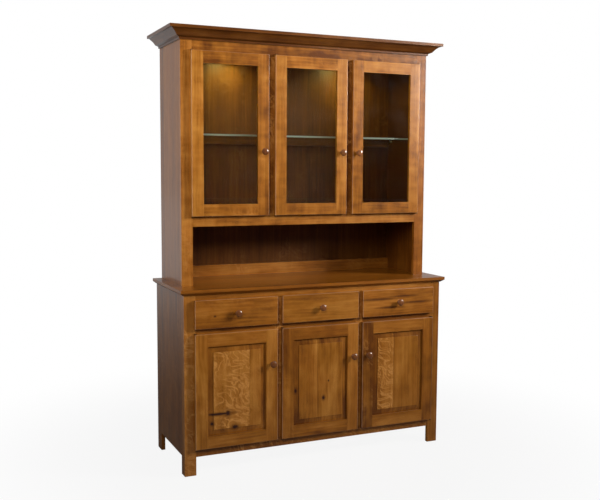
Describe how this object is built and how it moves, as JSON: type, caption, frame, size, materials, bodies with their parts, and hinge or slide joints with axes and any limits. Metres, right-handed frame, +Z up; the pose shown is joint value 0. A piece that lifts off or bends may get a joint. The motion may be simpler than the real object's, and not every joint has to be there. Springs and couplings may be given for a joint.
{
  "type": "step back cupboard",
  "caption": "Step back cupboard in stained oak: drawers over raised-panel doors below, and a shallower glazed hutch with an open serving space and a moulded crown above.",
  "frame": {"origin": "on the floor under the middle of the bounding box", "axes": "+Z up, -Y towards the front with the doors, +X to the right seen from the front"},
  "size_m": [1.444, 0.532, 2.073],
  "materials": {
    "case_oak": "stained, satin varnish",
    "front_oak": "stained quarter-sawn, satin varnish",
    "counter_oak": "stained, satin varnish",
    "crown_oak": "stained, satin varnish",
    "knob_oak": "stained, gloss varnish",
    "plain_maple": "clear satin varnish",
    "back_veneer": "stained veneer, satin",
    "clear_glass": "clear, polished",
    "brass": "aged, satin",
    "steel": "satin",
    "catch_plastic": "moulded, matte",
    "light_metal": "satin black",
    "light_lens": "frosted"
  },
  "bodies": {
    "case": {"base_back": "back_veneer", "base_deck": "case_oak", "base_face_frame": "case_oak", "base_left_side": "case_oak", "base_partitions": "case_oak", "base_right_side": "case_oak", "base_shelves": "case_oak", "countertop": "counter_oak", "crown_moulding": "crown_oak", "drawer_runners": "plain_maple", "glass_shelf": "clear_glass", "glass_shelf_pins": "steel", "hinge_brackets": "brass", "hutch_back": "back_veneer", "hutch_back_rail": "case_oak", "hutch_deck": "case_oak", "hutch_face_frame": "case_oak", "hutch_left_side": "case_oak", "hutch_right_side": "case_oak", "hutch_top": "case_oak", "light_housings": "light_metal", "light_lenses": "light_lens", "magnetic_catches": "catch_plastic", "shelf_cleats": "back_veneer"},
    "upper_left_door": {"upper_left_door_fittings": "brass", "upper_left_door_frame": "front_oak", "upper_left_door_glass": "clear_glass", "upper_left_door_glass_stops": "front_oak", "upper_left_door_knob": "knob_oak"},
    "lower_left_door": {"lower_left_door_fittings": "brass", "lower_left_door_frame": "front_oak", "lower_left_door_knob": "knob_oak", "lower_left_door_panel": "front_oak"},
    "left_drawer": {"left_drawer_box": "plain_maple", "left_drawer_front": "front_oak", "left_drawer_knob": "knob_oak"},
    "upper_middle_door": {"upper_middle_door_fittings": "brass", "upper_middle_door_frame": "front_oak", "upper_middle_door_glass": "clear_glass", "upper_middle_door_glass_stops": "front_oak", "upper_middle_door_knob": "knob_oak"},
    "lower_middle_door": {"lower_middle_door_fittings": "brass", "lower_middle_door_frame": "front_oak", "lower_middle_door_knob": "knob_oak", "lower_middle_door_panel": "front_oak"},
    "middle_drawer": {"middle_drawer_box": "plain_maple", "middle_drawer_front": "front_oak", "middle_drawer_knob": "knob_oak"},
    "upper_right_door": {"upper_right_door_fittings": "brass", "upper_right_door_frame": "front_oak", "upper_right_door_glass": "clear_glass", "upper_right_door_glass_stops": "front_oak", "upper_right_door_knob": "knob_oak"},
    "lower_right_door": {"lower_right_door_fittings": "brass", "lower_right_door_frame": "front_oak", "lower_right_door_knob": "knob_oak", "lower_right_door_panel": "front_oak"},
    "right_drawer": {"right_drawer_box": "plain_maple", "right_drawer_front": "front_oak", "right_drawer_knob": "knob_oak"}
  },
  "joints": [
    {"name": "upper_left_door_hinge", "type": "hinge", "parent": "case", "child": "upper_left_door", "pos_m": [-0.607, -0.108, 1.585], "axis": [0, 0, -1], "range_deg": [0, 110]},
    {"name": "lower_left_door_hinge", "type": "hinge", "parent": "case", "child": "lower_left_door", "pos_m": [-0.634, -0.231, 0.396], "axis": [0, 0, -1], "range_deg": [0, 110]},
    {"name": "left_drawer_slide", "type": "slide", "parent": "case", "child": "left_drawer", "axis": [0, -1, 0], "range_m": [0, 0.32]},
    {"name": "upper_middle_door_hinge", "type": "hinge", "parent": "case", "child": "upper_middle_door", "pos_m": [-0.188, -0.108, 1.585], "axis": [0, 0, -1], "range_deg": [0, 110]},
    {"name": "lower_middle_door_hinge", "type": "hinge", "parent": "case", "child": "lower_middle_door", "pos_m": [-0.2, -0.231, 0.396], "axis": [0, 0, -1], "range_deg": [0, 110]},
    {"name": "middle_drawer_slide", "type": "slide", "parent": "case", "child": "middle_drawer", "axis": [0, -1, 0], "range_m": [0, 0.32]},
    {"name": "upper_right_door_hinge", "type": "hinge", "parent": "case", "child": "upper_right_door", "pos_m": [0.607, -0.108, 1.585], "axis": [0, 0, 1], "range_deg": [0, 110]},
    {"name": "lower_right_door_hinge", "type": "hinge", "parent": "case", "child": "lower_right_door", "pos_m": [0.634, -0.231, 0.396], "axis": [0, 0, 1], "range_deg": [0, 110]},
    {"name": "right_drawer_slide", "type": "slide", "parent": "case", "child": "right_drawer", "axis": [0, -1, 0], "range_m": [0, 0.32]}
  ]
}
